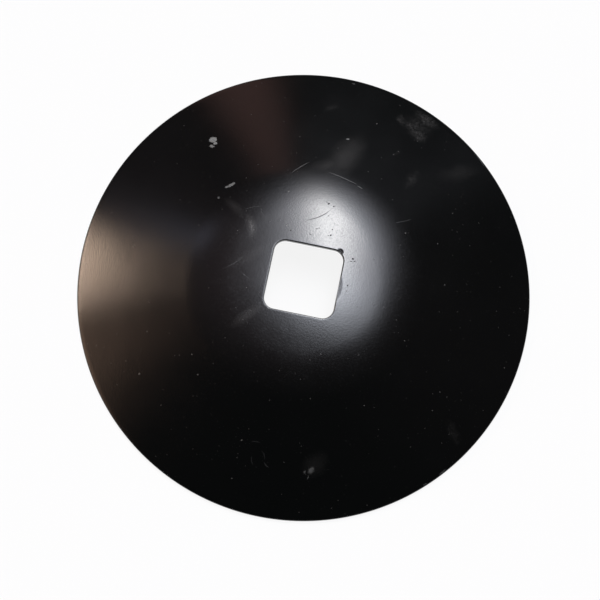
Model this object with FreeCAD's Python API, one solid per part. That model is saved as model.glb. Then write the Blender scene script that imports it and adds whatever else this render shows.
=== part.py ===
import FreeCAD, Part
import math
import os

# Rotary tiller flange: a shallow dished disc, pressed from one round blank of steel sheet, with a
# square shaft hole punched through its gently crowned hub. All lengths are in millimetres.
#
# The disc lies dome up on its rim. The origin is the centre of the plane it lies on, +Z is the axis
# of the disc, and the flats of the square hole face X and Y.

# Sizes of the pressing. The inside radii belong to the hollow side, where the press tool's nose was.
DISC_DIAMETER = 280.0
SHEET_THICKNESS = 4.0
CROWN_DIAMETER = 84.0
CROWN_INSIDE_RADIUS = 350.0
BEND_INSIDE_RADIUS = 124.0
SKIRT_ANGLE = 20.0

# The blank's outer edge: rolled over where the shear entered the sheet, and its burr filed off behind
RIM_ROLLOVER_RADIUS = 1.2
RIM_BACK_CHAMFER = 0.3

# The punched hole, with its three bands: rolled edge, sheared land and breakout
HOLE_ACROSS_FLATS = 41.0
HOLE_CORNER_RADIUS = 6.5
HOLE_ROLLOVER_RADIUS = 0.8
BREAKOUT_DEPTH = 1.3
BREAKOUT_WIDENING = 0.25

# The shallow crescent that a slipped tool pressed beside the hole, on its +X side
CRESCENT_LENGTH = 19.0
CRESCENT_WIDTH = 1.9
CRESCENT_DEPTH = 0.35
CRESCENT_CENTRE_Y = -1.5

# The knock on the rolled edge at the hole's +X +Y corner, and how far round that corner it is
NICK_RADIUS = 3.0
NICK_DEPTH = 0.5
NICK_ANGLE = 60.0

# How far a cutting shape runs past the surface that it cuts
CUT_MARGIN = 2.0

AXIS_POINT = FreeCAD.Vector(0, 0, 0)
UP = FreeCAD.Vector(0, 0, 1)

skirt_angle = math.radians(SKIRT_ANGLE)
along_skirt = FreeCAD.Vector(math.cos(skirt_angle), 0, -math.sin(skirt_angle))
out_of_skirt = FreeCAD.Vector(math.sin(skirt_angle), 0, math.cos(skirt_angle))
crown_outside_radius = CROWN_INSIDE_RADIUS + SHEET_THICKNESS
bend_outside_radius = BEND_INSIDE_RADIUS + SHEET_THICKNESS
hole_half_width = HOLE_ACROSS_FLATS / 2


# The sharp corners of the sheet's edge wall, before the front one is rolled over and the back one is
# filed. The wall is square to the sheet, because the blank was cut flat and dished afterwards. The
# roll draws the front corner back to the disc's diameter, and the filed corner rests on the ground.
drawn_back_by_roll = RIM_ROLLOVER_RADIUS * (math.cos(skirt_angle) + math.sin(skirt_angle) - 1)
front_corner_radius = DISC_DIAMETER / 2 + drawn_back_by_roll
back_corner_radius = front_corner_radius - SHEET_THICKNESS * math.sin(skirt_angle)
back_corner_height = -RIM_BACK_CHAMFER * math.sin(skirt_angle)
back_corner = FreeCAD.Vector(back_corner_radius, 0, back_corner_height)
front_corner = back_corner + out_of_skirt * SHEET_THICKNESS

# From the back corner the skirt rises to the bend, the bend to the crown, and the crown to the axis.
# The crown and the bend are arcs that meet with one slope, the crown's angle at its edge.
crown_radius = CROWN_DIAMETER / 2
crown_angle = math.asin(crown_radius / CROWN_INSIDE_RADIUS)
bend_centre_radius = crown_radius - BEND_INSIDE_RADIUS * math.sin(crown_angle)
skirt_run = back_corner_radius - (bend_centre_radius + BEND_INSIDE_RADIUS * math.sin(skirt_angle))
skirt_rise = skirt_run * math.tan(skirt_angle)
bend_centre_height = back_corner_height + skirt_rise - BEND_INSIDE_RADIUS * math.cos(skirt_angle)
crown_edge_height = bend_centre_height + BEND_INSIDE_RADIUS * math.cos(crown_angle)
bend_centre = FreeCAD.Vector(bend_centre_radius, 0, bend_centre_height)
crown_centre = FreeCAD.Vector(0, 0, crown_edge_height - CROWN_INSIDE_RADIUS * math.cos(crown_angle))


def section_arc(centre, radius, start_angle, end_angle):
    """An arc of the section, between two angles from the axis."""
    points = []
    for angle in (start_angle, (start_angle + end_angle) / 2, end_angle):
        points.append(centre + FreeCAD.Vector(math.sin(angle), 0, math.cos(angle)) * radius)
    return Part.Arc(*points)


def rim_roll_arc():
    """The arc that rounds the corner between the front of the skirt and the edge wall."""
    centre = front_corner - (out_of_skirt + along_skirt) * RIM_ROLLOVER_RADIUS
    middle_direction = FreeCAD.Vector(out_of_skirt + along_skirt).normalize()
    face_end = centre + out_of_skirt * RIM_ROLLOVER_RADIUS
    wall_end = centre + along_skirt * RIM_ROLLOVER_RADIUS
    return Part.Arc(face_end, centre + middle_direction * RIM_ROLLOVER_RADIUS, wall_end)


def straight(start, end):
    """The straight line between two points."""
    return Part.LineSegment(start, end)


def dished_blank():
    """The pressing before its hole: the sheet's section turned once round the axis."""
    front_crown = section_arc(crown_centre, crown_outside_radius, 0, crown_angle)
    front_bend = section_arc(bend_centre, bend_outside_radius, crown_angle, skirt_angle)
    back_crown = section_arc(crown_centre, CROWN_INSIDE_RADIUS, 0, crown_angle)
    back_bend = section_arc(bend_centre, BEND_INSIDE_RADIUS, crown_angle, skirt_angle)
    rim_roll = rim_roll_arc()
    filed_wall = back_corner + out_of_skirt * RIM_BACK_CHAMFER
    filed_back = back_corner - along_skirt * RIM_BACK_CHAMFER
    section = [
        front_crown,
        front_bend,
        straight(front_bend.EndPoint, rim_roll.StartPoint),
        rim_roll,
        straight(rim_roll.EndPoint, filed_wall),
        straight(filed_wall, filed_back),
        straight(filed_back, back_bend.EndPoint),
        back_bend,
        back_crown,
        straight(back_crown.StartPoint, front_crown.StartPoint),
    ]
    outline = Part.Wire(Part.__sortEdges__([curve.toShape() for curve in section]))
    return Part.Face(outline).revolve(AXIS_POINT, UP, 360)


def on_crown(radius, x, y):
    """The place on a crown surface over x and y, with its Z square to the surface."""
    height = math.sqrt(radius ** 2 - x ** 2 - y ** 2)
    square_to_surface = FreeCAD.Vector(x, y, height)
    return FreeCAD.Placement(crown_centre + square_to_surface, FreeCAD.Rotation(UP, square_to_surface))


def rounded_square(half_width, corner_radius, height):
    """A square outline with round corners, centred on the axis at a height."""
    straight_half = half_width - corner_radius
    middle = straight_half + corner_radius / math.sqrt(2)
    curves = []
    for quarter in range(4):
        turn = FreeCAD.Rotation(UP, 90 * quarter)
        side_start = turn.multVec(FreeCAD.Vector(half_width, -straight_half, height))
        side_end = turn.multVec(FreeCAD.Vector(half_width, straight_half, height))
        corner_middle = turn.multVec(FreeCAD.Vector(middle, middle, height))
        corner_end = turn.multVec(FreeCAD.Vector(straight_half, half_width, height))
        curves.append(straight(side_start, side_end))
        curves.append(Part.Arc(side_end, corner_middle, corner_end))
    return Part.Wire([curve.toShape() for curve in curves])


hole_back_height = on_crown(CROWN_INSIDE_RADIUS, hole_half_width, 0).Base.z
hole_front_height = on_crown(crown_outside_radius, hole_half_width, 0).Base.z


def hole_punch():
    """What the punch takes out: a straight square, which widens where the slug broke away behind."""
    bottom = hole_back_height - CUT_MARGIN
    top = hole_front_height + CUT_MARGIN
    breakout_top = hole_back_height + BREAKOUT_DEPTH
    land_outline = rounded_square(hole_half_width, HOLE_CORNER_RADIUS, bottom)
    land = Part.Face(land_outline).extrude(UP * (top - bottom))
    widened = BREAKOUT_WIDENING * (1 + CUT_MARGIN / BREAKOUT_DEPTH)
    narrow_end = rounded_square(hole_half_width, HOLE_CORNER_RADIUS, breakout_top)
    wide_end = rounded_square(hole_half_width + widened, HOLE_CORNER_RADIUS + widened, bottom)
    solid = True
    ruled = True
    breakout = Part.makeLoft([narrow_end, wide_end], solid, ruled)
    return land.fuse(breakout)


def front_hole_edges(plate):
    """The edges of the plate that run round the hole on the crown's front."""
    closeness = 0.001
    found = []
    for edge in plate.Edges:
        from_centre = [vertex.Point.distanceToPoint(crown_centre) for vertex in edge.Vertexes]
        from_axis = [math.hypot(vertex.X, vertex.Y) for vertex in edge.Vertexes]
        on_front = all(abs(distance - crown_outside_radius) < closeness for distance in from_centre)
        round_the_hole = max(from_axis) < hole_half_width * math.sqrt(2)
        if on_front and round_the_hole:
            found.append(edge)
    return found


def crescent_tool():
    """A shallow cone whose edge shows as an arc beside the hole's +X wall."""
    half_length = CRESCENT_LENGTH / 2
    arc_radius = (half_length ** 2 + CRESCENT_WIDTH ** 2) / (2 * CRESCENT_WIDTH)
    width_at_wall = HOLE_ROLLOVER_RADIUS + CRESCENT_WIDTH
    past_the_mark = 2
    narrow_radius = arc_radius - past_the_mark * width_at_wall
    wide_radius = arc_radius + past_the_mark * width_at_wall
    half_height = past_the_mark * CRESCENT_DEPTH
    foot = FreeCAD.Vector(-arc_radius, 0, -half_height)
    cone = Part.makeCone(narrow_radius, wide_radius, 2 * half_height, foot, UP)
    half_turn_moves_the_seam = 180
    cone.rotate(foot, UP, half_turn_moves_the_seam)
    block_width = width_at_wall + 2 * CUT_MARGIN
    block_corner = FreeCAD.Vector(-width_at_wall - CUT_MARGIN, -CRESCENT_LENGTH, -half_height)
    block = Part.makeBox(block_width, 2 * CRESCENT_LENGTH, 2 * half_height, block_corner)
    crescent = cone.common(block)
    crescent.Placement = on_crown(crown_outside_radius, hole_half_width + width_at_wall, CRESCENT_CENTRE_Y)
    return crescent


def nick_tool():
    """A ball sunk a little way into the rolled edge at the hole's +X +Y corner."""
    corner_centre = hole_half_width - HOLE_CORNER_RADIUS
    edge_radius = HOLE_CORNER_RADIUS + HOLE_ROLLOVER_RADIUS
    x = corner_centre + edge_radius * math.cos(math.radians(NICK_ANGLE))
    y = corner_centre + edge_radius * math.sin(math.radians(NICK_ANGLE))
    ball = Part.makeSphere(NICK_RADIUS, FreeCAD.Vector(0, 0, NICK_RADIUS - NICK_DEPTH))
    ball.Placement = on_crown(crown_outside_radius, x, y)
    return ball


def flange_disc():
    """The finished disc: dished, punched, rolled at the hole's edge, and marked as it was found."""
    punched = dished_blank().cut(hole_punch())
    rolled = punched.makeFillet(HOLE_ROLLOVER_RADIUS, front_hole_edges(punched))
    return rolled.cut(crescent_tool()).cut(nick_tool())


os.makedirs("parts", exist_ok=True)
disc = flange_disc()
disc.exportStep("parts/dished_flange_disc.step")
box = disc.optimalBoundingBox(False, False)
print("dished_flange_disc: solids", len(disc.Solids), "faces", len(disc.Faces), "valid", disc.isValid())
print("across mm", round(box.XLength, 3), "height mm", round(box.ZLength, 3), "lowest mm", round(box.ZMin, 4))
print("hole edges at mm", round(hole_back_height, 3), round(hole_front_height, 3))
print("volume mm3", round(disc.Volume, 1))
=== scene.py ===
# %% [markdown]
# This is the disc of a rotary tiller: one sheet of steel, cut round, dished in a press, punched with
# a square hole for the tiller's shaft and sprayed black. The picture to match looks down on it from
# above the hole. All lengths in this file are metres, and MM turns millimetres into them.

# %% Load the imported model
import math
import bpy
from mathutils import Matrix, Vector


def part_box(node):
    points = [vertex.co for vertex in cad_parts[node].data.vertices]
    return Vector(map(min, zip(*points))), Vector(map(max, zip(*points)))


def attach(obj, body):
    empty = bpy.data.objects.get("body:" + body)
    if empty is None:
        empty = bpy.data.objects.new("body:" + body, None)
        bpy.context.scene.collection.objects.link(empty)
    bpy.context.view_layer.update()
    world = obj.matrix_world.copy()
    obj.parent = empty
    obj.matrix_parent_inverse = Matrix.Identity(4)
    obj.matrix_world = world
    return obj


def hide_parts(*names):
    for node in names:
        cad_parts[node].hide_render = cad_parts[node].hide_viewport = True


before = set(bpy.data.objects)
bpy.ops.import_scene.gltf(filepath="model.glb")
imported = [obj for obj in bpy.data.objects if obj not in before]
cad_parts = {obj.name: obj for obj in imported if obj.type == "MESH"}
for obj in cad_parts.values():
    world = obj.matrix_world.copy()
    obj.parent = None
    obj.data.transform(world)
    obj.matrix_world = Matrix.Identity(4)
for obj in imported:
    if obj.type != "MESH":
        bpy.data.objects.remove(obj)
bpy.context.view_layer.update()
MM = 0.001
packed_low, packed_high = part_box("dished_flange_disc")
print("packed disc, corners in mm:", [round(v / MM, 2) for v in (*packed_low, *packed_high)])

# %% [markdown]
# The sheet is 4 mm thick. Going outwards from the hole it is a gently crowned hub, a bend, a straight
# skirt and a sheared rim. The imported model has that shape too, but it is made of long thin triangles,
# and a glossy black paint shows each of them as a streak. So the disc is drawn again here with even,
# four-sided faces from the same few sizes. The rim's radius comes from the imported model.

# %% Sizes of the disc
SHEET_THICKNESS = 4.0 * MM
CROWN_DIAMETER = 84.0 * MM
CROWN_INSIDE_RADIUS = 350.0 * MM
BEND_INSIDE_RADIUS = 124.0 * MM
SKIRT_ANGLE = math.radians(20.0)
RIM_ROLLOVER_RADIUS = 1.2 * MM
RIM_BACK_CHAMFER = 0.3 * MM
HOLE_HALF_WIDTH = 20.5 * MM
HOLE_CORNER_RADIUS = 6.5 * MM
HOLE_ROLLOVER_RADIUS = 0.8 * MM
BREAKOUT_DEPTH = 1.3 * MM
BREAKOUT_WIDENING = 0.25 * MM
FACES_AROUND = 256

along_skirt = Vector((math.cos(SKIRT_ANGLE), 0, -math.sin(SKIRT_ANGLE)))
out_of_skirt = Vector((math.sin(SKIRT_ANGLE), 0, math.cos(SKIRT_ANGLE)))
drawn_back_by_roll = RIM_ROLLOVER_RADIUS * (math.cos(SKIRT_ANGLE) + math.sin(SKIRT_ANGLE) - 1)
back_corner_radius = packed_high.x + drawn_back_by_roll - SHEET_THICKNESS * math.sin(SKIRT_ANGLE)
back_corner = Vector((back_corner_radius, 0, packed_low.z - RIM_BACK_CHAMFER * math.sin(SKIRT_ANGLE)))
front_corner = back_corner + out_of_skirt * SHEET_THICKNESS

crown_angle = math.asin(CROWN_DIAMETER / 2 / CROWN_INSIDE_RADIUS)
out_of_crown_edge = Vector((math.sin(crown_angle), 0, math.cos(crown_angle)))
bend_centre_radius = CROWN_DIAMETER / 2 - BEND_INSIDE_RADIUS * math.sin(crown_angle)
skirt_run = back_corner.x - (bend_centre_radius + BEND_INSIDE_RADIUS * math.sin(SKIRT_ANGLE))
bend_centre_height = back_corner.z + skirt_run * math.tan(SKIRT_ANGLE)
bend_centre_height -= BEND_INSIDE_RADIUS * math.cos(SKIRT_ANGLE)
bend_centre = Vector((bend_centre_radius, 0, bend_centre_height))
crown_centre = bend_centre - out_of_crown_edge * (CROWN_INSIDE_RADIUS - BEND_INSIDE_RADIUS)
crown_centre.x = 0
crown_top = crown_centre.z + CROWN_INSIDE_RADIUS + SHEET_THICKNESS
print("the crown would reach", round(crown_top / MM, 3), "mm on the axis if it had no hole")

# %% [markdown]
# The bend, skirt and rim have the same section all the way round, so they are drawn once and spun.
# The drawing starts as one vertex on the front of the crown's edge. Spin about a centre draws the
# arcs, and extrude draws the straight lines, each in several steps, so that the faces come out even.
# Spin turns clockwise seen along its axis, so the arcs that go outwards have a minus.

# %% Draw the section from the crown's edge round the rim and back
ACROSS_SECTION = (0, 1, 0)
UP = Vector((0, 0, 1))
BEND_STEPS = 20
SKIRT_STEPS = 30
ROLL_STEPS = 10
EDGE_WALL_STEPS = 4


def draw_arc(centre, angle, steps):
    """Draws on from the selected vertex in an arc about a centre."""
    bpy.ops.mesh.spin(steps=steps, angle=-angle, center=centre, axis=ACROSS_SECTION)


def draw_line(direction, length, steps):
    """Draws on from the selected vertex in a straight line."""
    for _ in range(steps):
        bpy.ops.mesh.extrude_region_move(TRANSFORM_OT_translate={"value": direction * (length / steps)})


bend_turn = SKIRT_ANGLE - crown_angle
back_skirt_length = skirt_run / math.cos(SKIRT_ANGLE) - RIM_BACK_CHAMFER
front_bend_end = bend_centre + out_of_skirt * (BEND_INSIDE_RADIUS + SHEET_THICKNESS)
front_skirt_length = (front_corner - front_bend_end).length - RIM_ROLLOVER_RADIUS
roll_centre = front_corner - (out_of_skirt + along_skirt) * RIM_ROLLOVER_RADIUS
edge_wall_height = SHEET_THICKNESS - RIM_ROLLOVER_RADIUS - RIM_BACK_CHAMFER

bpy.ops.object.select_all(action="DESELECT")
section_start = bend_centre + out_of_crown_edge * (BEND_INSIDE_RADIUS + SHEET_THICKNESS)
bpy.ops.mesh.primitive_plane_add(size=1 * MM, location=section_start)
disc = bpy.context.object
disc.name = "pressed_disc"
bpy.ops.object.transform_apply(location=True, rotation=True, scale=True)
bpy.ops.object.mode_set(mode="EDIT")
bpy.ops.mesh.select_mode(type="VERT")
bpy.ops.mesh.select_all(action="SELECT")
bpy.ops.mesh.merge(type="CENTER")
draw_arc(bend_centre, bend_turn, BEND_STEPS)
draw_line(along_skirt, front_skirt_length, SKIRT_STEPS)
draw_arc(roll_centre, math.radians(90), ROLL_STEPS)
draw_line(-out_of_skirt, edge_wall_height, EDGE_WALL_STEPS)
draw_line(-out_of_skirt - along_skirt, RIM_BACK_CHAMFER, 1)
draw_line(-along_skirt, back_skirt_length, SKIRT_STEPS)
draw_arc(bend_centre, -bend_turn, BEND_STEPS)
bpy.ops.object.mode_set(mode="OBJECT")
section_end = disc.data.vertices[-1].co
print("section ends at mm:", [round(v / MM, 3) for v in section_end])

# %% Spin the section all the way round
MERGE_WITHIN = 0.01 * MM

bpy.ops.object.mode_set(mode="EDIT")
bpy.ops.mesh.select_all(action="SELECT")
bpy.ops.mesh.spin(steps=FACES_AROUND, angle=math.radians(360), center=(0, 0, 0), axis=UP)
bpy.ops.mesh.select_all(action="SELECT")
bpy.ops.mesh.remove_doubles(threshold=MERGE_WITHIN)
bpy.ops.object.mode_set(mode="OBJECT")
print("skirt:", len(disc.data.polygons), "faces")

# %% [markdown]
# The crown is part of a ball with a square hole in it. Each of its two faces is made as a web: the
# hole's outline and the crown's round edge are drawn flat, the gap between them is filled by bridge,
# and a Cast modifier lays the web on the ball. The outline is a square whose corners are rounded by a
# vertex bevel. It has as many vertices as the round edge, so every face of the web has four sides. A
# second outline just outside the first leaves room for the rolled edge, which is bevelled later.

# %% Helpers that choose what an operator works on
SLACK = 0.1 * MM  # how far a place may lie off a line that it is chosen by


def select_where(piece, wanted):
    """Selects just the vertices whose place passes the test, and leaves the piece in edit mode."""
    bpy.ops.object.mode_set(mode="EDIT")
    bpy.ops.mesh.select_mode(type="VERT")
    bpy.ops.mesh.select_all(action="DESELECT")
    bpy.ops.object.mode_set(mode="OBJECT")
    for vertex in piece.data.vertices:
        vertex.select = wanted(vertex.co)
    bpy.ops.object.mode_set(mode="EDIT")
    bpy.ops.mesh.select_mode(type="VERT")


def select_long_edges(piece, length):
    """Selects just the edges that are longer than a length, and leaves the piece in edit mode."""
    bpy.ops.mesh.select_all(action="DESELECT")
    bpy.ops.mesh.select_mode(type="EDGE")
    bpy.ops.object.mode_set(mode="OBJECT")
    for edge in piece.data.edges:
        start, end = [piece.data.vertices[index].co for index in edge.vertices]
        edge.select = (start - end).length > length
    bpy.ops.object.mode_set(mode="EDIT")


def outside_square(place, half_width, corner_radius):
    """How far a place lies outside a square outline with round corners, as seen from above."""
    x = max(abs(place.x) - (half_width - corner_radius), 0)
    y = max(abs(place.y) - (half_width - corner_radius), 0)
    return math.hypot(x, y) - corner_radius


# %% Make the two faces of the crown
CORNER_STEPS = 16
SIDE_STEPS = FACES_AROUND // 4 - CORNER_STEPS
WEB_STEPS = 36
OUTLINE_GAP = 1.5 * MM
MEAN_REACH = 1.12  # mean distance from the axis to the outline, in half widths


def add_outline(piece, half_width, corner_radius, height):
    """Adds a square outline with round corners to the piece in edit mode."""
    bpy.ops.mesh.primitive_plane_add(size=2 * half_width, location=(0, 0, height))
    bpy.ops.mesh.bevel(affect="VERTICES", offset=corner_radius, segments=CORNER_STEPS, profile=0.5)
    bpy.ops.mesh.delete(type="ONLY_FACE")
    select_long_edges(piece, half_width)
    bpy.ops.mesh.subdivide(number_cuts=SIDE_STEPS - 1)
    bpy.ops.mesh.select_mode(type="VERT")


def crown_web(name, radius, half_width, corner_radius):
    """One face of the crown, from the hole's outline to its round edge, on a ball of a radius."""
    bpy.ops.object.select_all(action="DESELECT")
    bpy.ops.mesh.primitive_circle_add(vertices=FACES_AROUND, radius=radius * math.sin(crown_angle))
    web = bpy.context.object
    web.name = name
    height = math.sqrt(radius ** 2 - (half_width * MEAN_REACH) ** 2)
    bpy.ops.object.mode_set(mode="EDIT")
    bpy.ops.mesh.select_all(action="SELECT")
    bpy.ops.transform.translate(value=(0, 0, radius * math.cos(crown_angle)))
    add_outline(web, half_width, corner_radius, height)
    add_outline(web, half_width + OUTLINE_GAP, corner_radius + OUTLINE_GAP, height)
    inside_crown = radius * math.sin(crown_angle) - SLACK
    select_where(web, lambda place: place.xy.length < inside_crown)
    bpy.ops.mesh.bridge_edge_loops()
    select_where(web, lambda place: outside_square(place, half_width, corner_radius) > OUTLINE_GAP / 2)
    bpy.ops.mesh.bridge_edge_loops(number_cuts=WEB_STEPS)
    bpy.ops.object.mode_set(mode="OBJECT")
    bpy.ops.object.modifier_add(type="CAST")
    cast = web.modifiers[-1]
    cast.factor = 1.0
    cast.use_radius_as_size = False
    cast.size = radius
    bpy.ops.object.modifier_apply(modifier=cast.name)
    bpy.ops.object.mode_set(mode="EDIT")
    bpy.ops.mesh.select_all(action="SELECT")
    bpy.ops.transform.translate(value=(0, 0, crown_centre.z))
    bpy.ops.object.mode_set(mode="OBJECT")
    print(name, len(web.data.polygons), "faces,", len(web.data.vertices), "vertices")
    return web


front_web = crown_web(
    "front_web", CROWN_INSIDE_RADIUS + SHEET_THICKNESS, HOLE_HALF_WIDTH, HOLE_CORNER_RADIUS
)
back_web = crown_web(
    "back_web",
    CROWN_INSIDE_RADIUS,
    HOLE_HALF_WIDTH + BREAKOUT_WIDENING,
    HOLE_CORNER_RADIUS + BREAKOUT_WIDENING,
)

# %% Join the crown's faces to the skirt
bpy.ops.object.select_all(action="DESELECT")
front_web.select_set(True)
back_web.select_set(True)
disc.select_set(True)
bpy.context.view_layer.objects.active = disc
bpy.ops.object.join()
bpy.ops.object.mode_set(mode="EDIT")
bpy.ops.mesh.select_all(action="SELECT")
bpy.ops.mesh.remove_doubles(threshold=MERGE_WITHIN)
bpy.ops.object.mode_set(mode="OBJECT")
print("joined:", len(disc.data.vertices), "vertices")

# %% [markdown]
# A punched hole has three bands. The punch rolls the front edge over, shears a straight land, and
# near the back the slug breaks away and leaves the hole a little wider. So the front outline is
# extruded down to where the break starts and laid flat there, bridged to the back outline, and its
# front edge is bevelled round.

# %% Make the hole's wall
HOLE_ROLL_STEPS = 12
BREAKOUT_CUTS = 2
CLEAR_OF_BREAKOUT = 0.5 * MM

hole_back_height = crown_centre.z + math.sqrt(CROWN_INSIDE_RADIUS ** 2 - HOLE_HALF_WIDTH ** 2)
breakout_top = hole_back_height + BREAKOUT_DEPTH


def on_hole_line(place, low, high):
    """Whether a place is on the hole's outline between two heights."""
    beside = outside_square(place, HOLE_HALF_WIDTH, HOLE_CORNER_RADIUS)
    return abs(beside) < 2 * BREAKOUT_WIDENING and low < place.z < high


select_where(disc, lambda place: on_hole_line(place, breakout_top, crown_top))
bpy.ops.mesh.extrude_region_move()
bpy.ops.transform.resize(value=(1, 1, 0), center_override=(0, 0, breakout_top))
select_where(disc, lambda place: on_hole_line(place, 0, breakout_top + SLACK))
bpy.ops.mesh.bridge_edge_loops(number_cuts=BREAKOUT_CUTS)
select_where(disc, lambda place: on_hole_line(place, breakout_top - SLACK, breakout_top + SLACK))
bpy.ops.mesh.mark_sharp()
select_where(disc, lambda place: on_hole_line(place, breakout_top + CLEAR_OF_BREAKOUT, crown_top))
bpy.ops.mesh.bevel(affect="EDGES", offset=HOLE_ROLLOVER_RADIUS, segments=HOLE_ROLL_STEPS, profile=0.5)
bpy.ops.mesh.select_all(action="SELECT")
bpy.ops.mesh.normals_make_consistent(inside=False)
bpy.ops.object.mode_set(mode="OBJECT")
print("with its hole:", len(disc.data.polygons), "faces")

# %% [markdown]
# Two small marks were pressed into the hole's edge in use: a slipped tool left a shallow crescent on
# the +X side, and a knock dented one corner. Each tool is drawn as a cone or a ball where it struck,
# and a Shrinkwrap modifier pushes the vertices that are inside it straight down onto its surface.

# %% Sizes of the marks at the hole
CRESCENT_LENGTH = 19.0 * MM
CRESCENT_WIDTH = 1.9 * MM
CRESCENT_DEPTH = 0.35 * MM
CRESCENT_CENTRE_Y = -1.5 * MM
NICK_RADIUS = 3.0 * MM
NICK_DEPTH = 0.5 * MM
NICK_ANGLE = math.radians(60.0)
CONE_FACES = 256
BALL_FACES = 96


def on_crown(x, y):
    """The place on the crown's front over x and y, and the direction square to it."""
    radius = CROWN_INSIDE_RADIUS + SHEET_THICKNESS
    out = Vector((x, y, math.sqrt(radius ** 2 - x ** 2 - y ** 2)))
    return crown_centre + out, out.normalized()


def press_with(tool, low_x, low_y):
    """Pushes the part of the disc's front beyond two lines down onto a tool, and removes the tool."""
    bpy.ops.object.select_all(action="DESELECT")
    disc.select_set(True)
    bpy.context.view_layer.objects.active = disc
    select_where(disc, lambda place: place.x > low_x and place.y > low_y and place.z > breakout_top)
    bpy.ops.object.vertex_group_add()
    bpy.ops.object.vertex_group_assign()
    bpy.ops.object.mode_set(mode="OBJECT")
    bpy.ops.object.modifier_add(type="SHRINKWRAP")
    press = disc.modifiers[-1]
    press.wrap_method = "PROJECT"
    press.use_project_z = True
    press.use_positive_direction = False
    press.use_negative_direction = True
    press.target = tool
    press.vertex_group = disc.vertex_groups.active.name
    before = [vertex.co.z for vertex in disc.data.vertices]
    bpy.ops.object.modifier_apply(modifier=press.name)
    bpy.ops.object.vertex_group_remove(all=True)
    moved = [old - vertex.co.z for old, vertex in zip(before, disc.data.vertices)]
    deepest = round(max(moved) / MM, 3)
    print(tool.name, "pressed", sum(m > 0 for m in moved), "vertices, deepest mm", deepest)
    bpy.data.objects.remove(tool)


# %% Press the crescent
reach_from_wall = HOLE_ROLLOVER_RADIUS + CRESCENT_WIDTH
arc_radius = ((CRESCENT_LENGTH / 2) ** 2 + CRESCENT_WIDTH ** 2) / (2 * CRESCENT_WIDTH)
crescent_place, crescent_out = on_crown(HOLE_HALF_WIDTH + reach_from_wall, CRESCENT_CENTRE_Y)
crescent_turn = UP.rotation_difference(crescent_out)
bpy.ops.object.select_all(action="DESELECT")
bpy.ops.mesh.primitive_cone_add(
    vertices=CONE_FACES,
    radius1=arc_radius - 2 * reach_from_wall,
    radius2=arc_radius + 2 * reach_from_wall,
    depth=4 * CRESCENT_DEPTH,
    end_fill_type="NOTHING",
    location=crescent_place + crescent_turn @ Vector((-arc_radius, 0, 0)),
    rotation=crescent_turn.to_euler(),
)
bpy.context.object.name = "crescent_tool"
press_with(bpy.context.object, HOLE_HALF_WIDTH - SLACK, -CRESCENT_LENGTH)

# %% Press the nick
nick_reach = HOLE_CORNER_RADIUS + HOLE_ROLLOVER_RADIUS
CORNER_CENTRE = HOLE_HALF_WIDTH - HOLE_CORNER_RADIUS
nick_place, nick_out = on_crown(
    CORNER_CENTRE + nick_reach * math.cos(NICK_ANGLE), CORNER_CENTRE + nick_reach * math.sin(NICK_ANGLE)
)
bpy.ops.object.select_all(action="DESELECT")
bpy.ops.mesh.primitive_uv_sphere_add(
    segments=BALL_FACES,
    ring_count=BALL_FACES,
    radius=NICK_RADIUS,
    location=nick_place + nick_out * (NICK_RADIUS - NICK_DEPTH),
)
bpy.context.object.name = "nick_tool"
press_with(bpy.context.object, 0, 0)

# %% Finish the disc's mesh
SMOOTH_BELOW = math.radians(30)

bpy.ops.object.shade_smooth_by_angle(angle=SMOOTH_BELOW, keep_sharp_edges=True)
faces_on_edge = {}
for face in disc.data.polygons:
    for key in face.edge_keys:
        faces_on_edge[key] = faces_on_edge.get(key, 0) + 1
open_edges = sum(count != 2 for count in faces_on_edge.values())
corners = [len(face.vertices) for face in disc.data.polygons]
print("disc:", len(corners), "faces, of them four-sided", corners.count(4), "and open edges", open_edges)
low = [min(vertex.co[axis] for vertex in disc.data.vertices) / MM for axis in range(3)]
high = [max(vertex.co[axis] for vertex in disc.data.vertices) / MM for axis in range(3)]
print("disc, corners in mm:", [round(v, 3) for v in (*low, *high)])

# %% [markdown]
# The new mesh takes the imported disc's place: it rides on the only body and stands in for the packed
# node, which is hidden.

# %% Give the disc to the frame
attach(disc, "root")
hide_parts("dished_flange_disc")
print("the disc rides on root in place of the packed one")

# %% [markdown]
# The camera is 540 mm from the middle of the rim's plane and looks down a little off the axis. Its tilts
# and the offset were found by laying the disc's outline and the hole's four corners over the picture.
# The focal length is given in pixels of a 600 pixel picture, which the sensor's width turns into mm.

# %% Camera
CAMERA_DISTANCE = 540.0 * MM
CAMERA_TILTS_DEGREES = (-8.879, -1.774, -11.557)
CAMERA_OFFSET = (2.144 * MM, 6.377 * MM)
FOCAL_LENGTH_PIXELS = 867.2
PICTURE_PIXELS = 600
SENSOR_WIDTH_MM = 36.0

turned = Matrix.Identity(4)
for angle, axis in zip(CAMERA_TILTS_DEGREES, "XYZ"):
    turned = Matrix.Rotation(math.radians(angle), 4, axis) @ turned
into_camera = Matrix.Translation((*CAMERA_OFFSET, -CAMERA_DISTANCE)) @ turned
camera_data = bpy.data.cameras.new("photo_camera")
camera_data.sensor_width = SENSOR_WIDTH_MM
camera_data.lens = FOCAL_LENGTH_PIXELS / PICTURE_PIXELS * SENSOR_WIDTH_MM
camera = bpy.data.objects.new("photo_camera", camera_data)
camera.matrix_world = into_camera.inverted()
bpy.context.scene.collection.objects.link(camera)
bpy.context.scene.camera = camera
print("camera at mm:", [round(v / MM, 1) for v in camera.matrix_world.translation])

# %% [markdown]
# A material in Blender is a tree of nodes. One helper adds a node, sets its settings, and gives each
# of its inputs a plain value or a link from another node. A second helper turns the hex colours that
# a screen shows into the linear colours that the shader counts in.

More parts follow.
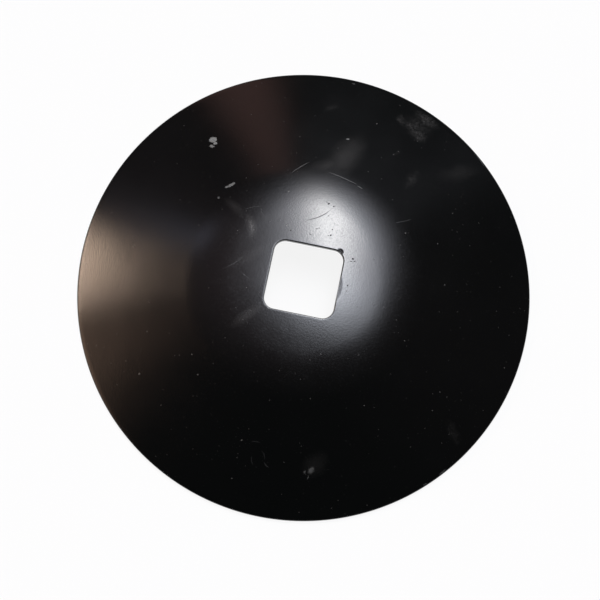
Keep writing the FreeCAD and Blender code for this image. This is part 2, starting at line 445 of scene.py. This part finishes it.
# %% Helpers for colours and nodes
def linear(hex_colour):
    """An sRGB hex colour as linear red, green, blue and alpha."""
    channels = []
    for place in (1, 3, 5):
        value = int(hex_colour[place:place + 2], 16) / 255
        channels.append(value / 12.92 if value <= 0.04045 else ((value + 0.055) / 1.055) ** 2.4)
    return (*channels, 1.0)


def add_node(tree, kind, inputs, **settings):
    """Adds a node with its settings. Each input takes a value, a socket or a node's first output."""
    node = tree.nodes.new("ShaderNode" + kind)
    for name, value in settings.items():
        setattr(node, name, value)
    for name, value in inputs.items():
        if isinstance(value, bpy.types.Node):
            value = value.outputs[0]
        if isinstance(value, bpy.types.NodeSocket):
            tree.links.new(value, node.inputs[name])
        else:
            node.inputs[name].default_value = value
    return node


# %% [markdown]
# The finish is black air-drying enamel, sprayed on bare pressed steel in one coat. It is glossy with a
# slight orange peel, so lamps show in it as soft glows whose edges look grainy. The paint itself is
# nearly black: what the eye sees on it is reflections, dust and marks. Everything is laid out in
# Object coordinates, in metres, so a pattern of a certain size in mm has a scale of one over it.

# %% Start the enamel
PAINT_BLACK = "#020202"
PAINT_ROUGHNESS = 0.165
PAINT_IOR = 1.6
FRONT_FROM = 0.3  # the normal's Z where the front begins, and where it counts in full
FRONT_IN_FULL = 0.5

enamel = bpy.data.materials.new("sprayed_black_enamel")
enamel.use_nodes = True
paint = enamel.node_tree
paint_shader = paint.nodes["Principled BSDF"]
paint_shader.inputs["IOR"].default_value = PAINT_IOR
disc.data.materials.clear()
disc.data.materials.append(enamel)

place = add_node(paint, "TexCoord", {})
seen_from_above = add_node(
    paint, "VectorMath", {0: place.outputs["Object"], 1: (1, 1, 0)}, operation="MULTIPLY"
)
axis_distance = add_node(paint, "VectorMath", {0: seen_from_above}, operation="LENGTH").outputs["Value"]
upward = add_node(paint, "SeparateXYZ", {0: place.outputs["Normal"]})
front_settings = {"Value": upward.outputs["Z"], "From Min": FRONT_FROM, "From Max": FRONT_IN_FULL}
on_front = add_node(paint, "MapRange", front_settings, clamp=True)
print("enamel started, with", len(paint.nodes), "nodes")

# %% [markdown]
# Marks are not laid out by hand one node at a time: a small helper makes one long patch with soft ends,
# at a place given in mm as seen from above, and it is called for each chip, scratch and smear. A
# texture Mapping moves the patch to its place, turns it, and scales it so that it ends where the
# distance from its middle is 1. Ragged marks read a place that noise has shaken a little.

# %% Helpers for marks
def shaken(amount, grain):
    """The place seen from above, shaken by noise of a grain size, both in mm."""
    settings = {"Vector": seen_from_above, "Scale": 1 / (grain * MM), "Detail": 3.0}
    noise = add_node(paint, "TexNoise", settings).outputs["Color"]
    centred = add_node(paint, "VectorMath", {0: noise, 1: (0.5, 0.5, 0.5)}, operation="SUBTRACT")
    shake = add_node(paint, "VectorMath", {0: centred, "Scale": 2 * amount * MM}, operation="SCALE")
    moved = add_node(paint, "VectorMath", {0: seen_from_above, 1: shake}, operation="ADD")
    return add_node(paint, "VectorMath", {0: moved, 1: (1, 1, 0)}, operation="MULTIPLY")


def patch(x, y, length, width, turn=0.0, bow=0.0, soft=0.6, strength=1.0, where=None):
    """A mask of one long patch, in mm and degrees; bow lifts its middle, soft is its fading share."""
    settings = {
        "Vector": where or seen_from_above,
        "Location": (x * MM, y * MM, 0),
        "Rotation": (0, 0, math.radians(turn)),
        "Scale": (length / 2 * MM, width / 2 * MM, 1),
    }
    reach = add_node(paint, "Mapping", settings, vector_type="TEXTURE")
    if bow:
        parts = add_node(paint, "SeparateXYZ", {0: reach})
        along = parts.outputs["X"]
        square = add_node(paint, "Math", {0: along, 1: along}, operation="MULTIPLY")
        rise = bow / (width / 2)
        line = add_node(paint, "Math", {0: square, 1: rise, 2: -rise}, operation="MULTIPLY_ADD")
        across = add_node(paint, "Math", {0: parts.outputs["Y"], 1: line}, operation="ADD")
        reach = add_node(paint, "CombineXYZ", {0: along, 1: across})
    distance = add_node(paint, "VectorMath", {0: reach}, operation="LENGTH").outputs["Value"]
    settings = {"Value": distance, "From Min": 1.0, "From Max": 1.0 - soft, "To Max": strength}
    return add_node(paint, "MapRange", settings, interpolation_type="SMOOTHSTEP")


def strongest(masks):
    """The strongest of several masks at each place, on the front only."""
    most = masks[0]
    for mask in masks[1:]:
        most = add_node(paint, "Math", {0: most, 1: mask}, operation="MAXIMUM")
    return add_node(paint, "Math", {0: most, 1: on_front}, operation="MULTIPLY")


# %% [markdown]
# Knocks have broken the paint in a few places and left whitish chips. Their outlines are ragged on the
# scale of a millimetre or so, which is why they read a shaken place.

# %% Chips
ragged = shaken(0.7, 1.6)
chips = strongest([
    patch(-73.8, 78.6, 5.8, 4.6, 10, soft=0.35, where=ragged),
    patch(-71.6, 76.4, 2.8, 2.4, 0, soft=0.35, where=ragged),
    patch(-73.2, 74.0, 4.0, 2.2, -10, soft=0.5, strength=0.85, where=ragged),
    patch(-54.6, 49.2, 6.4, 2.3, 40, soft=0.5, strength=0.75, where=ragged),
    patch(-57.0, 47.4, 2.6, 2.0, 20, soft=0.5, strength=0.75, where=ragged),
    patch(-60.3, 39.7, 2.2, 1.8, 0, soft=0.8, strength=0.5, where=ragged),
    patch(26.5, -106.7, 6.0, 4.2, 60, soft=0.8, strength=0.35, where=ragged),
    patch(23.0, -108.4, 3.0, 1.6, 70, soft=0.8, strength=0.3, where=ragged),
    patch(25.5, -111.0, 3.4, 1.0, 80, soft=0.8, strength=0.25, where=ragged),
    patch(8.3, 94.5, 2.6, 1.3, 15, soft=0.5, strength=0.9, where=ragged),
    patch(4.6, 137.0, 2.6, 1.4, 0, soft=0.6, strength=0.25, where=ragged),
])
print("chips done,", len(paint.nodes), "nodes")

# %% [markdown]
# Scratches are thin lines where the gloss is broken. A rough line sends light every way, so the same
# scratch looks pale where the gloss around it is dark, and dark where it crosses a bright glow.

# %% Scratches
scratches = strongest([
    patch(-15.8, 67.8, 16.4, 0.75, 46.5, bow=0.5, strength=0.9),
    patch(10.4, 65.9, 24.6, 0.75, -12.9, bow=0.5, strength=0.9),
    patch(21.5, 62.6, 5.0, 0.8, -20.0, strength=0.7),
    patch(50.7, 48.0, 15.0, 0.7, 28.7, bow=-0.4, strength=0.5),
    patch(-33.5, -4.9, 11.0, 0.7, -28.8, strength=0.35),
    patch(-42.8, 1.8, 20.0, 0.7, 41.2, bow=-1.2, strength=0.3),
    patch(-38.4, 35.9, 14.5, 0.6, 21.0, bow=0.8, strength=0.35),
    patch(-32.5, 35.1, 7.0, 0.6, -66.0, strength=0.35),
    patch(-0.2, 40.1, 22.0, 0.8, 35.2, bow=-2.3, strength=0.85),
    patch(-3.1, -104.0, 7.0, 0.8, -60.0, bow=1.0, strength=0.3),
    patch(0.4, -108.8, 5.0, 0.9, -35.0, bow=-0.6, strength=0.45),
    patch(-7.9, -108.0, 6.0, 0.8, -70.0, bow=-1.0, strength=0.35),
    patch(-8.5, -97.7, 7.0, 0.8, 5.0, bow=0.8, strength=0.3),
    patch(91.6, 104.2, 17.0, 1.0, -46.5, bow=0.5, strength=0.9),
    patch(104.0, -92.0, 7.0, 1.4, 48.0, strength=0.8),
    patch(95.0, -101.2, 4.0, 1.2, 43.0, strength=0.7),
])
print("scratches done,", len(paint.nodes), "nodes")

# %% [markdown]
# Pits are tiny craters: dirt fell into the wet paint, or a grain was knocked out later. They are
# darkest in the glow round the hole, so only those are placed one by one. The nick in the hole's corner
# holds some dirt, which is just as dull.

# %% Pits
PITS = (
    (-13.4, 26.7, 1.8),
    (5.3, 47.6, 1.9),
    (3.7, 48.4, 1.0),
    (8.6, 46.6, 1.5),
    (25.7, 17.6, 1.9),
    (26.8, 16.3, 1.7),
    (25.0, 15.7, 1.2),
    (38.0, 20.0, 1.2),
    (25.7, 1.2, 1.4),
    (10.4, 32.2, 1.1),
    (10.2, 28.7, 1.4),
    (8.7, 28.2, 1.0),
    (1.6, 30.8, 1.2),
    (2.9, 31.6, 1.0),
    (-1.5, 27.0, 1.2),
    (8.9, 38.5, 0.9),
    (6.6, 40.3, 0.8),
)
dirt_in_nick = patch(17.7, 20.2, 5.6, 2.2, -42, soft=0.8, where=ragged)
pits = strongest([
    dirt_in_nick,
    *[patch(x, y, size, 0.8 * size, 35, soft=0.7, strength=0.8, where=ragged) for x, y, size in PITS],
])
print("pits done,", len(paint.nodes), "nodes")

# %% [markdown]
# Larger grains of dust lie here and there on the front. The ones that the picture shows are placed one
# by one, and the fine dust all over is a Voronoi texture: each cell holds one grain, a random number
# that goes with the cell decides whether the grain is there, and its distance output draws it round.

# %% Dust
GRAINS = (
    (-15.9, 29.5, 1.5),
    (-44.0, 20.9, 1.2),
    (-34.6, 23.0, 1.0),
    (-19.6, 50.5, 1.6),
    (-105.8, 2.8, 1.3),
    (-88.0, -29.3, 1.2),
    (24.1, 110.3, 1.3),
    (-31.6, -11.7, 1.0),
    (-16.8, -97.8, 1.6),
    (-18.3, -121.0, 1.1),
    (-85.2, -72.1, 1.8),
    (-68.3, -87.6, 1.1),
    (-85.5, -46.8, 1.2),
    (-55.4, -55.2, 1.3),
    (-49.6, -66.0, 1.3),
    (39.7, -36.6, 1.1),
    (49.0, -64.0, 1.1),
    (91.9, -46.6, 1.2),
    (64.6, -22.6, 1.2),
    (129.1, -23.5, 1.3),
    (53.3, 40.6, 1.5),
    (37.8, 90.8, 1.0),
    (40.5, 94.0, 0.9),
)
GRAIN_CORE_SHARE = 0.3  # the part of a scattered grain's radius that is at full strength

placed_grains = strongest([
    patch(x, y, size, 0.8 * size, 20, soft=0.9, strength=0.6)
    for x, y, size in GRAINS
])


def scattered_grains(cell, radius, kept, strength):
    """A mask of round grains, at most one in each cell of a size; kept is the share of cells with one."""
    cells = add_node(paint, "TexVoronoi", {"Vector": place.outputs["Object"], "Scale": 1 / (cell * MM)})
    chance = add_node(paint, "SeparateColor", {0: cells.outputs["Color"]})
    settings = {
        "Value": cells.outputs["Distance"],
        "From Min": radius / cell,
        "From Max": GRAIN_CORE_SHARE * radius / cell,
        "To Max": strength,
    }
    grain = add_node(paint, "MapRange", settings, clamp=True)
    there = add_node(paint, "Math", {0: chance.outputs["Red"], 1: kept}, operation="LESS_THAN")
    paler = add_node(paint, "Math", {0: grain, 1: chance.outputs["Green"]}, operation="MULTIPLY")
    return add_node(paint, "Math", {0: paler, 1: there}, operation="MULTIPLY")


coarse_grains = scattered_grains(8.0, 0.5, 0.35, 0.6)
fine_grains = scattered_grains(3.0, 0.42, 0.35, 0.35)
scattered = add_node(paint, "Math", {0: coarse_grains, 1: fine_grains}, operation="MAXIMUM")
dust = add_node(paint, "Math", {0: scattered, 1: placed_grains}, operation="MAXIMUM")
print("dust done,", len(paint.nodes), "nodes")

# %% [markdown]
# Round the hole the last spray landed half dry. There the gloss is broken by fine specks that are a
# little rougher than the paint between them, which gives the glow its fine grain. They fade out on the
# upper part of the skirt.

# %% Half-dry spray round the hole
SPECK_GRAIN = 0.8
SPECK_ROUGHNESS = 0.1
SPECKS_END_AT = 88 * MM
SPECKS_FULL_AT = 60 * MM
SPECK_NOISE_RANGE = (0.5, 0.75)

near_settings = {"Value": axis_distance, "From Min": SPECKS_END_AT, "From Max": SPECKS_FULL_AT}
near_hub = add_node(paint, "MapRange", near_settings, interpolation_type="SMOOTHSTEP")
noise_settings = {"Vector": place.outputs["Object"], "Scale": 1 / (SPECK_GRAIN * MM), "Detail": 2.0}
speck_noise = add_node(paint, "TexNoise", noise_settings)
speck_settings = {
    "Value": speck_noise,
    "From Min": SPECK_NOISE_RANGE[0],
    "From Max": SPECK_NOISE_RANGE[1],
    "To Max": SPECK_ROUGHNESS,
}
specks = add_node(paint, "MapRange", speck_settings, clamp=True)
print("half-dry spray done,", len(paint.nodes), "nodes")

# %% [markdown]
# Hands and rags have left smears: thin films of dust and grease with soft edges. Most are wide patches
# on a strongly shaken place. The dusty ones are broken up by a noise texture, so that they look wiped
# and not painted, and a small round print below the hole is the difference of two patches.

# %% Smears
SMEAR_GRAIN = 2.0
STREAK_NOISE_RANGE = (0.34, 0.68)

wiped = shaken(2.5, 7.0)
dusty_smears = strongest([
    patch(38.5, 117.5, 8.0, 11.0, 20, soft=0.8, strength=0.7, where=wiped),
    patch(55.0, 121.5, 22.0, 12.0, -25, soft=0.9, strength=1.0, where=wiped),
    patch(46.0, 114.0, 17.0, 8.0, -30, soft=0.8, strength=0.8, where=wiped),
    patch(51.0, 109.5, 17.0, 11.0, -10, soft=0.9, strength=0.9, where=wiped),
    patch(49.0, 115.5, 26.0, 18.0, -25, soft=1.0, strength=0.6, where=wiped),
    patch(39.5, 92.0, 10.0, 3.5, 40, soft=0.9, strength=0.3, where=wiped),
    patch(51.5, 76.5, 20.0, 10.0, 72, soft=1.0, strength=0.5, where=wiped),
    patch(-6.0, 115.5, 14.0, 7.0, 35, soft=1.0, strength=0.35, where=wiped),
    patch(-38.4, 24.5, 18.0, 3.4, -68, bow=2.0, soft=1.0, strength=1.0, where=ragged),
    patch(105.0, -68.0, 20.0, 9.0, -50, soft=1.0, strength=0.25, where=wiped),
])
soft_smears = strongest([
    patch(9.5, 82.0, 46.0, 24.0, 66, soft=1.0, strength=0.85, where=wiped),
    patch(0.0, 73.0, 26.0, 12.0, 20, soft=1.0, strength=0.7, where=wiped),
    patch(80.0, 90.0, 36.0, 15.0, 30, soft=1.0, strength=0.35, where=wiped),
    patch(28.0, -103.0, 24.0, 16.0, 50, soft=1.0, strength=0.25, where=wiped),
    patch(-49.5, 34.5, 22.0, 8.0, -34, bow=1.0, soft=1.0, strength=0.5),
    patch(-38.4, 24.5, 20.0, 8.5, -68, bow=2.0, soft=1.0, strength=1.0),
    patch(-27.5, -26.8, 30.0, 9.0, 45, soft=1.0, strength=0.7),
    patch(-34.0, 7.0, 36.0, 11.0, 40, soft=1.0, strength=0.35),
])
ring_out = patch(-5.3, -30.2, 4.6, 4.0, soft=0.3)
ring_in = patch(-5.3, -30.2, 3.2, 2.6, soft=0.4)
ring_mark = add_node(paint, "Math", {0: ring_out, 1: ring_in}, operation="SUBTRACT", use_clamp=True)
noise_settings = {
    "Vector": seen_from_above,
    "Scale": 1 / (SMEAR_GRAIN * MM),
    "Detail": 3.0,
    "Roughness": 0.7,
}
streaks = add_node(paint, "TexNoise", noise_settings)
patchy_settings = {
    "Value": streaks,
    "From Min": STREAK_NOISE_RANGE[0],
    "From Max": STREAK_NOISE_RANGE[1],
}
patchy = add_node(paint, "MapRange", patchy_settings, clamp=True)
broken_smears = add_node(paint, "Math", {0: dusty_smears, 1: patchy}, operation="MULTIPLY")
print("smears done,", len(paint.nodes), "nodes")

# %% [markdown]
# The rim is rubbed in handling. The hole's rolled edge gets a painted highlight: it is painted pale on
# all sides but the +Y one, which is left dark as painted shade. Both are narrow bands: one lies at a
# known distance from the axis, and the other at a known distance from the square on whose corners the
# hole's corner arcs are centred.

# %% Rubbed rim and painted highlight on the hole's edge
RIM_RADIUS = packed_high.x
RIM_RUB_WIDTH = 1.3 * MM
RUB_GRAIN = 5.0
RUB_NOISE_RANGE = (0.56, 0.72)
HIGHLIGHT_SHARE_OF_ROLL = 0.3
HIGHLIGHT_TOWARDS = (-0.3, -1, 0)  # the edge is painted pale as a highlight except on the side that this points away from, left as shade
HIGHLIGHT_FROM = -18 * MM
HIGHLIGHT_IN_FULL = -10 * MM
BACK_UP_TO = -0.3  # the normal's Z where the back ends, and where the edge counts in full
EDGE_IN_FULL = -0.1

band_settings = {"Value": axis_distance, "From Min": RIM_RADIUS - RIM_RUB_WIDTH, "From Max": RIM_RADIUS}
rim_band = add_node(paint, "MapRange", band_settings)
noise_settings = {"Vector": place.outputs["Object"], "Scale": 1 / (RUB_GRAIN * MM), "Detail": 4.0}
rub_noise = add_node(paint, "TexNoise", noise_settings)
rub_settings = {"Value": rub_noise, "From Min": RUB_NOISE_RANGE[0], "From Max": RUB_NOISE_RANGE[1]}
rub_places = add_node(paint, "MapRange", rub_settings, clamp=True)
rubbed = add_node(paint, "Math", {0: rim_band, 1: rub_places}, operation="MULTIPLY")

one_quarter = add_node(paint, "VectorMath", {0: seen_from_above}, operation="ABSOLUTE")
from_corner = add_node(
    paint, "VectorMath", {0: one_quarter, 1: (CORNER_CENTRE, CORNER_CENTRE, 0)}, operation="SUBTRACT"
)
past_side = add_node(paint, "VectorMath", {0: from_corner, 1: (0, 0, 0)}, operation="MAXIMUM")
hole_distance = add_node(paint, "VectorMath", {0: past_side}, operation="LENGTH").outputs["Value"]
edge_settings = {
    "Value": hole_distance,
    "From Min": HOLE_CORNER_RADIUS + HOLE_ROLLOVER_RADIUS,
    "From Max": HOLE_CORNER_RADIUS + HIGHLIGHT_SHARE_OF_ROLL * HOLE_ROLLOVER_RADIUS,
}
hole_edge = add_node(paint, "MapRange", edge_settings, interpolation_type="SMOOTHSTEP")
towards = add_node(paint, "VectorMath", {0: seen_from_above, 1: HIGHLIGHT_TOWARDS}, operation="DOT_PRODUCT")
highlight_side_settings = {"Value": towards.outputs["Value"], "From Min": HIGHLIGHT_FROM, "From Max": HIGHLIGHT_IN_FULL}
highlighted_side = add_node(paint, "MapRange", highlight_side_settings, clamp=True)
edge_highlight_band = add_node(paint, "Math", {0: hole_edge, 1: highlighted_side}, operation="MULTIPLY")
above_settings = {"Value": upward.outputs["Z"], "From Min": BACK_UP_TO, "From Max": EDGE_IN_FULL}
above_back = add_node(paint, "MapRange", above_settings, clamp=True)
painted_edge_highlight = add_node(paint, "Math", {0: edge_highlight_band, 1: above_back}, operation="MULTIPLY")
print("rubbed edges done,", len(paint.nodes), "nodes")

# %% [markdown]
# Now the masks meet, first in the colour. Where a mask is strong, its own grey covers the colours
# before it, up to a share: thin films let most of the black through, and chips let none through.

# %% Colour of the enamel
CHIP_GREY = "#70716f"
DUST_GREY = "#8c8983"
FILM_GREY = "#5a5856"
RUBBED_GREY = "#3c3a38"
# The next grey is a painted highlight on the hole's rolled edge, not wear.
EDGE_HIGHLIGHT_GREY = "#808080"
SCRATCH_GREY = "#6e6e6e"


def covered(colour, mask, strength, cover):
    """A colour covered by another where a mask lies, up to a strength."""
    share = add_node(paint, "Math", {0: mask, 1: strength}, operation="MULTIPLY", use_clamp=True)
    return add_node(
        paint, "Mix", {0: share, 6: colour, 7: linear(cover)}, data_type="RGBA", blend_type="MIX"
    ).outputs[2]


colour = linear(PAINT_BLACK)
colour = covered(colour, broken_smears, 0.35, FILM_GREY)
colour = covered(colour, soft_smears, 0.2, FILM_GREY)
colour = covered(colour, rubbed, 0.5, RUBBED_GREY)
# The hole's rolled edge is painted pale here as a highlight, and stays dark on its +Y side as painted
# shade.
colour = covered(colour, painted_edge_highlight, 0.7, EDGE_HIGHLIGHT_GREY)
colour = covered(colour, scratches, 0.2, SCRATCH_GREY)
colour = covered(colour, dust, 0.5, DUST_GREY)
colour = covered(colour, chips, 1.0, CHIP_GREY)
paint.links.new(colour, paint_shader.inputs["Base Color"])

# %% [markdown]
# Gloss is smoothness, and the shader counts it as roughness. The paint's own roughness drifts a little
# from place to place, as it does in sprayed paint, and all that breaks the gloss adds its share to it.

# %% Roughness of the enamel
SMUDGE_GRAIN = 24.0
SMUDGE_ROUGHNESS = 0.03
SMUDGE_NOISE_RANGE = (0.3, 0.7)

noise_settings = {"Vector": place.outputs["Object"], "Scale": 1 / (SMUDGE_GRAIN * MM)}
smudges = add_node(paint, "TexNoise", noise_settings)
smudge_settings = {
    "Value": smudges,
    "From Min": SMUDGE_NOISE_RANGE[0],
    "From Max": SMUDGE_NOISE_RANGE[1],
    "To Min": PAINT_ROUGHNESS - SMUDGE_ROUGHNESS / 2,
    "To Max": PAINT_ROUGHNESS + SMUDGE_ROUGHNESS / 2,
}
roughness = add_node(paint, "MapRange", smudge_settings, clamp=True)
for mask, share in (
    (near_hub, specks),
    (soft_smears, 0.06),
    (ring_mark, 0.05),
    (broken_smears, 0.08),
    (scratches, 0.3),
    (rubbed, 0.35),
    (dust, 0.5),
    (pits, 0.5),
    (chips, 0.5),
):
    addition = {0: mask, 1: share, 2: roughness}
    roughness = add_node(paint, "Math", addition, operation="MULTIPLY_ADD", use_clamp=True)
paint.links.new(roughness.outputs[0], paint_shader.inputs["Roughness"])

# %% [markdown]
# Orange peel is the fine bumpiness that drops of paint leave as they flow together, and the press
# leaves a slow waviness in the sheet. Both are too low for the mesh, so their heights go into one bump.
# A Bump node with a strength of 1 and heights in metres gives the slopes that those heights have.

# %% Height of the enamel
PEEL_GRAIN = 1.0
PEEL_HEIGHT = 0.024
WAVE_GRAIN = 16.0
WAVE_HEIGHT = 0.03

peel = add_node(
    paint, "TexNoise", {"Vector": place.outputs["Object"], "Scale": 1 / (PEEL_GRAIN * MM), "Detail": 1.0}
)
waves = add_node(
    paint, "TexNoise", {"Vector": place.outputs["Object"], "Scale": 1 / (WAVE_GRAIN * MM), "Detail": 2.0}
)
low_waves = add_node(paint, "Math", {0: waves, 1: WAVE_HEIGHT * MM}, operation="MULTIPLY")
height = add_node(paint, "Math", {0: peel, 1: PEEL_HEIGHT * MM, 2: low_waves}, operation="MULTIPLY_ADD")
bump = add_node(paint, "Bump", {"Strength": 1.0, "Distance": 1.0, "Height": height})
paint.links.new(bump.outputs[0], paint_shader.inputs["Normal"])
print("enamel done,", len(paint.nodes), "nodes")

# %% [markdown]
# The disc lies on a plain pale floor. A floor under plain light renders light grey, so part of what the
# camera sees of it glows at the strength of white, and the rest still takes light and shadow. Glossy
# and transmitted rays see the same floor as the camera.

# %% Floor
FLOOR_SIZE = 8.0
FLOOR_COLOUR = "#f6f6f6"
FLOOR_ROUGHNESS = 0.9
FLOOR_GLOW_SHARE = 0.88
WHITE = "#ffffff"

bpy.ops.object.select_all(action="DESELECT")
bpy.ops.mesh.primitive_plane_add(size=FLOOR_SIZE)
floor = bpy.context.object
floor.name = "studio_floor"
floor_material = bpy.data.materials.new("matt_pale_floor")
floor_material.use_nodes = True
floor_tree = floor_material.node_tree
floor_shader = floor_tree.nodes["Principled BSDF"]
floor_shader.inputs["Base Color"].default_value = linear(FLOOR_COLOUR)
floor_shader.inputs["Roughness"].default_value = FLOOR_ROUGHNESS
ray = add_node(floor_tree, "LightPath", {})
seen = ray.outputs["Is Camera Ray"]
for kind in ("Is Glossy Ray", "Is Transmission Ray"):
    seen = add_node(floor_tree, "Math", {0: seen, 1: ray.outputs[kind]}, operation="MAXIMUM")
glow_share = add_node(floor_tree, "Math", {0: seen, 1: FLOOR_GLOW_SHARE}, operation="MULTIPLY")
floor_glow = add_node(floor_tree, "Emission", {"Color": linear(WHITE), "Strength": 1.0})
floor_mix = add_node(floor_tree, "MixShader", {0: glow_share, 1: floor_shader, 2: floor_glow})
floor_tree.links.new(floor_mix.outputs[0], floor_tree.nodes["Material Output"].inputs["Surface"])
floor.data.materials.append(floor_material)
print("floor", FLOOR_SIZE, "m wide")

# %% [markdown]
# Gloss shows the whole room, so the lights are painted into the world, all round the disc. A soft box
# almost overhead and its two spills make the bright glow above the hole and the wide one round it. A
# warm lamp and its tail are low on the left, a wide dim patch stands for the rest of the room, and two
# cards and a window give faint tints. Each light is a soft-edged patch of the sky. A texture Mapping
# turns directions so that the patch's middle is at Z, and divides them by its size, so its brightness
# falls off as exp of minus a power of the distance from the middle.

# %% Lights of the studio
# Each row: tilt to +X and to +Y, half width, half height, turn, all in degrees, then edge (1 fades as a
# bell curve does, and more is sharper), radiance and colour.
LIGHTS = {
    "soft_box": (2.3, 25.3, 5.0, 11.8, 16.6, 1.0, 16.6, "#fffefb"),
    "soft_box_spill": (4.3, 8.7, 7.9, 11.0, 80.3, 1.1, 8.5, "#edf3ff"),
    "wide_spill": (4.3, 26.5, 14.1, 16.7, 19.7, 1.2, 5.9, "#eef2ff"),
    "dim_room": (-18.0, 12.0, 34.0, 23.0, 0.0, 0.8, 0.26, "#ffdfe8"),
    "warm_lamp": (-57.1, 5.5, 2.5, 10.0, 8.0, 2.7, 14.0, "#ffe0c7"),
    "warm_tail": (-59.0, -21.0, 9.5, 15.0, 6.0, 1.2, 2.6, "#ffd3b5"),
    "blue_card": (-44.0, 19.5, 8.0, 5.0, 20.0, 1.2, 0.62, "#dfe4ff"),
    "brown_card": (-30.0, 59.0, 13.0, 6.5, 0.0, 2.0, 0.50, "#ffc2b6"),
    "far_window": (31.0, 50.0, 9.0, 7.0, 0.0, 1.0, 0.08, "#eef0ff"),
}
ROOM_COLOUR = (0.020, 0.028, 0.028)

world = bpy.context.scene.world or bpy.data.worlds.new("studio_world")
bpy.context.scene.world = world
world.use_nodes = True
sky = world.node_tree
direction = add_node(sky, "TexCoord", {}).outputs["Generated"]


def light_patch(tilt_x, tilt_y, half_width, half_height, turn, edge, radiance, colour):
    """The light of one soft-edged patch of sky, as a colour, for the direction that is looked in."""
    tilt = math.hypot(tilt_x, tilt_y)
    flat = Vector((tilt_x, tilt_y)) / tilt * math.sin(math.radians(tilt))
    middle = Vector((flat.x, flat.y, math.cos(math.radians(tilt))))
    up = (Vector((0, 1, 0)) - middle * middle.y).normalized()
    facing_light = Matrix((up.cross(middle), up, middle)).transposed()
    spun = facing_light @ Matrix.Rotation(math.radians(turn), 3, "Z")
    settings = {
        "Vector": direction,
        "Rotation": spun.to_euler(),
        "Scale": (math.radians(half_width), math.radians(half_height), 1.0),
    }
    turned_place = add_node(sky, "Mapping", settings, vector_type="TEXTURE")
    facing = add_node(sky, "SeparateXYZ", {0: turned_place}).outputs["Z"]
    in_front = add_node(sky, "Math", {0: facing, 1: 0.0}, operation="GREATER_THAN")
    beside = add_node(sky, "VectorMath", {0: turned_place, 1: (1, 1, 0)}, operation="MULTIPLY")
    distance = add_node(sky, "VectorMath", {0: beside}, operation="LENGTH").outputs["Value"]
    steep = add_node(sky, "Math", {0: distance, 1: 2 * edge}, operation="POWER")
    lower = add_node(sky, "Math", {0: steep, 1: -1.0}, operation="MULTIPLY")
    fading = add_node(sky, "Math", {0: lower}, operation="EXPONENT")
    strength = add_node(sky, "Math", {0: fading, 1: in_front}, operation="MULTIPLY")
    bright = [radiance * channel for channel in linear(colour)[:3]]
    return add_node(sky, "VectorMath", {0: bright, "Scale": strength}, operation="SCALE")


light = ROOM_COLOUR
for settings in LIGHTS.values():
    light = add_node(sky, "VectorMath", {0: light, 1: light_patch(*settings)}, operation="ADD")
print(len(LIGHTS), "lights in the world")

# %% [markdown]
# Low down all round, the walls of the room are a dim pale grey that fades out further up. Only views
# from the side see it in the gloss.

# %% Pale walls low down
WALL_COLOUR = (0.30, 0.30, 0.31)
WALL_FULL_BELOW = math.radians(4.0)
WALL_GONE_ABOVE = math.radians(22.0)

wall_settings = {
    "Value": add_node(sky, "SeparateXYZ", {0: direction}).outputs["Z"],
    "From Min": math.sin(WALL_GONE_ABOVE),
    "From Max": math.sin(WALL_FULL_BELOW),
}
wall_share = add_node(sky, "MapRange", wall_settings, interpolation_type="SMOOTHSTEP")
wall_light = add_node(sky, "VectorMath", {0: WALL_COLOUR, "Scale": wall_share}, operation="SCALE")
light = add_node(sky, "VectorMath", {0: light, 1: wall_light}, operation="ADD")
background = sky.nodes["Background"]
sky.links.new(light.outputs[0], background.inputs["Color"])
background.inputs["Strength"].default_value = 1.0
print("world painted, with", len(sky.nodes), "nodes")

# %% [markdown]
# Seen straight on, the studio's far wall is white like the floor. Only the camera's own rays see it so:
# if gloss saw it too, the black paint would turn grey all over.

# %% White wall behind the floor
camera_ray = add_node(sky, "LightPath", {}).outputs["Is Camera Ray"]
white_wall = add_node(sky, "Background", {"Color": linear(WHITE), "Strength": 1.0})
what_is_seen = add_node(sky, "MixShader", {0: camera_ray, 1: background, 2: white_wall})
sky.links.new(what_is_seen.outputs[0], sky.nodes["World Output"].inputs["Surface"])
print("white wall for the camera's rays")

# %% Finish
bpy.context.scene.view_settings.view_transform = "Standard"
